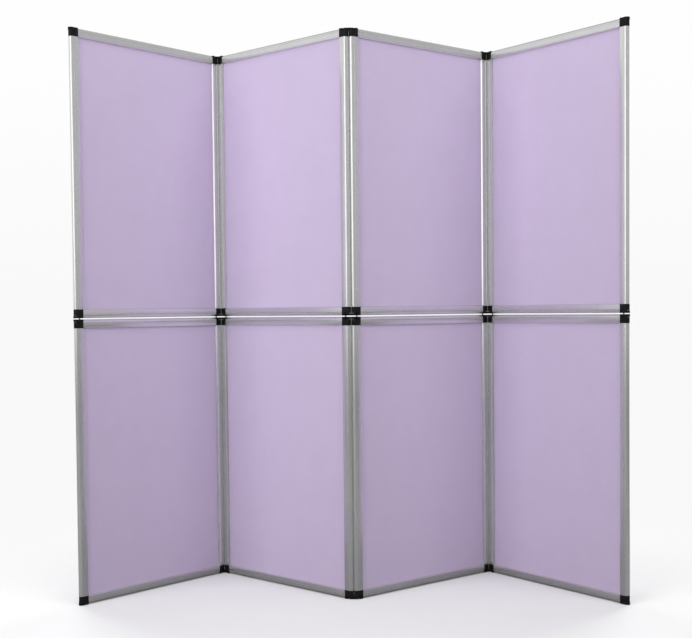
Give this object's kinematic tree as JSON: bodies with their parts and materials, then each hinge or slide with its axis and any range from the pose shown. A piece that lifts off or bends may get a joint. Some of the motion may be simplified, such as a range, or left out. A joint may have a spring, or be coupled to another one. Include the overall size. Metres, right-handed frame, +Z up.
{
  "type": "folding display partition",
  "caption": "Free-standing zig-zag partition of framed fabric panels, joined by double-pivot corner links so that it folds flat; its upper row lifts off the pegs that tie it to the lower.",
  "frame": {"origin": "on the floor, in the middle of the footprint's box at rest", "axes": "+Z up, -Y towards the front that the picture shows, +X to the right along the line between the two free edges"},
  "size_m": [1.7248, 0.4652, 1.8035],
  "materials": {
    "aluminium_frame": "satin anodised extrusion",
    "black_plastic": "moulded, fine matt texture",
    "loop_fabric": "short loop pile, lilac"
  },
  "bodies": {
    "panel_lower_1": {"frame_lower_1": "aluminium_frame", "infill_board_lower_1": "loop_fabric", "corner_block_lower_1_bottom_left": "black_plastic", "corner_block_lower_1_bottom_right": "black_plastic", "corner_block_lower_1_top_left": "black_plastic", "corner_block_lower_1_top_right": "black_plastic"},
    "panel_lower_2": {"frame_lower_2": "aluminium_frame", "infill_board_lower_2": "loop_fabric", "corner_block_lower_2_bottom_left": "black_plastic", "corner_block_lower_2_bottom_right": "black_plastic", "corner_block_lower_2_top_left": "black_plastic", "corner_block_lower_2_top_right": "black_plastic"},
    "panel_lower_3": {"frame_lower_3": "aluminium_frame", "infill_board_lower_3": "loop_fabric", "corner_block_lower_3_bottom_left": "black_plastic", "corner_block_lower_3_bottom_right": "black_plastic", "corner_block_lower_3_top_left": "black_plastic", "corner_block_lower_3_top_right": "black_plastic"},
    "panel_lower_4": {"frame_lower_4": "aluminium_frame", "infill_board_lower_4": "loop_fabric", "corner_block_lower_4_bottom_left": "black_plastic", "corner_block_lower_4_bottom_right": "black_plastic", "corner_block_lower_4_top_left": "black_plastic", "corner_block_lower_4_top_right": "black_plastic"},
    "links_lower_12": {"hinge_link_lower_12_bottom": "black_plastic", "hinge_link_lower_12_top": "black_plastic"},
    "links_lower_23": {"hinge_link_lower_23_bottom": "black_plastic", "hinge_link_lower_23_top": "black_plastic"},
    "links_lower_34": {"hinge_link_lower_34_bottom": "black_plastic", "hinge_link_lower_34_top": "black_plastic"},
    "panel_upper_1": {"frame_upper_1": "aluminium_frame", "infill_board_upper_1": "loop_fabric", "corner_block_upper_1_bottom_left": "black_plastic", "corner_block_upper_1_bottom_right": "black_plastic", "corner_block_upper_1_top_left": "black_plastic", "corner_block_upper_1_top_right": "black_plastic"},
    "panel_upper_2": {"frame_upper_2": "aluminium_frame", "infill_board_upper_2": "loop_fabric", "corner_block_upper_2_bottom_left": "black_plastic", "corner_block_upper_2_bottom_right": "black_plastic", "corner_block_upper_2_top_left": "black_plastic", "corner_block_upper_2_top_right": "black_plastic"},
    "panel_upper_3": {"frame_upper_3": "aluminium_frame", "infill_board_upper_3": "loop_fabric", "corner_block_upper_3_bottom_left": "black_plastic", "corner_block_upper_3_bottom_right": "black_plastic", "corner_block_upper_3_top_left": "black_plastic", "corner_block_upper_3_top_right": "black_plastic"},
    "panel_upper_4": {"frame_upper_4": "aluminium_frame", "infill_board_upper_4": "loop_fabric", "corner_block_upper_4_bottom_left": "black_plastic", "corner_block_upper_4_bottom_right": "black_plastic", "corner_block_upper_4_top_left": "black_plastic", "corner_block_upper_4_top_right": "black_plastic"},
    "links_upper_12": {"hinge_link_upper_12_bottom": "black_plastic", "hinge_link_upper_12_top": "black_plastic"},
    "links_upper_23": {"hinge_link_upper_23_bottom": "black_plastic", "hinge_link_upper_23_top": "black_plastic"},
    "links_upper_34": {"hinge_link_upper_34_bottom": "black_plastic", "hinge_link_upper_34_top": "black_plastic"}
  },
  "joints": [
    {"name": "fold_23_at_2", "type": "hinge", "parent": "panel_lower_2", "child": "links_lower_23", "pos_m": [-0.00673, -0.15193, 0], "axis": [0, 0, 1], "range_deg": [-40, 50]},
    {"name": "fold_23_at_3", "type": "hinge", "parent": "links_lower_23", "child": "panel_lower_3", "pos_m": [0.01387, -0.15185, 0], "axis": [0, 0, 1], "range_deg": [-40, 50]},
    {"name": "fold_12_at_2", "type": "hinge", "parent": "panel_lower_2", "child": "links_lower_12", "pos_m": [-0.45252, 0.2191, 0], "axis": [0, 0, 1], "range_deg": [-44.5, 45.5]},
    {"name": "fold_12_at_1", "type": "hinge", "parent": "links_lower_12", "child": "panel_lower_1", "pos_m": [-0.47305, 0.2174, 0], "axis": [0, 0, 1], "range_deg": [-44.5, 45.5]},
    {"name": "fold_34_at_3", "type": "hinge", "parent": "panel_lower_3", "child": "links_lower_34", "pos_m": [0.45668, 0.22274, 0], "axis": [0, 0, -1], "range_deg": [-45, 45]},
    {"name": "fold_34_at_4", "type": "hinge", "parent": "links_lower_34", "child": "panel_lower_4", "pos_m": [0.47721, 0.22103, 0], "axis": [0, 0, -1], "range_deg": [-45, 45]},
    {"name": "fold_23_at_2_upper", "type": "hinge", "parent": "panel_upper_2", "child": "links_upper_23", "pos_m": [-0.00673, -0.15193, 0.9035], "axis": [0, 0, 1], "range_deg": [-40, 50]},
    {"name": "fold_23_at_3_upper", "type": "hinge", "parent": "links_upper_23", "child": "panel_upper_3", "pos_m": [0.01387, -0.15185, 0.9035], "axis": [0, 0, 1], "range_deg": [-40, 50]},
    {"name": "fold_12_at_2_upper", "type": "hinge", "parent": "panel_upper_2", "child": "links_upper_12", "pos_m": [-0.45252, 0.2191, 0.9035], "axis": [0, 0, 1], "range_deg": [-44.5, 45.5]},
    {"name": "fold_12_at_1_upper", "type": "hinge", "parent": "links_upper_12", "child": "panel_upper_1", "pos_m": [-0.47305, 0.2174, 0.9035], "axis": [0, 0, 1], "range_deg": [-44.5, 45.5]},
    {"name": "fold_34_at_3_upper", "type": "hinge", "parent": "panel_upper_3", "child": "links_upper_34", "pos_m": [0.45668, 0.22274, 0.9035], "axis": [0, 0, -1], "range_deg": [-45, 45]},
    {"name": "fold_34_at_4_upper", "type": "hinge", "parent": "links_upper_34", "child": "panel_upper_4", "pos_m": [0.47721, 0.22103, 0.9035], "axis": [0, 0, -1], "range_deg": [-45, 45]},
    {"name": "lift_upper_row", "type": "slide", "parent": "panel_lower_2", "child": "panel_upper_2", "axis": [0, 0, 1], "range_m": [0, 0.04]}
  ],
  "couplings": [
    {"joint": "fold_23_at_2_upper", "follows": "fold_23_at_2", "ratio": 1},
    {"joint": "fold_23_at_3_upper", "follows": "fold_23_at_3", "ratio": 1},
    {"joint": "fold_12_at_2_upper", "follows": "fold_12_at_2", "ratio": 1},
    {"joint": "fold_12_at_1_upper", "follows": "fold_12_at_1", "ratio": 1},
    {"joint": "fold_34_at_3_upper", "follows": "fold_34_at_3", "ratio": 1},
    {"joint": "fold_34_at_4_upper", "follows": "fold_34_at_4", "ratio": 1}
  ]
}
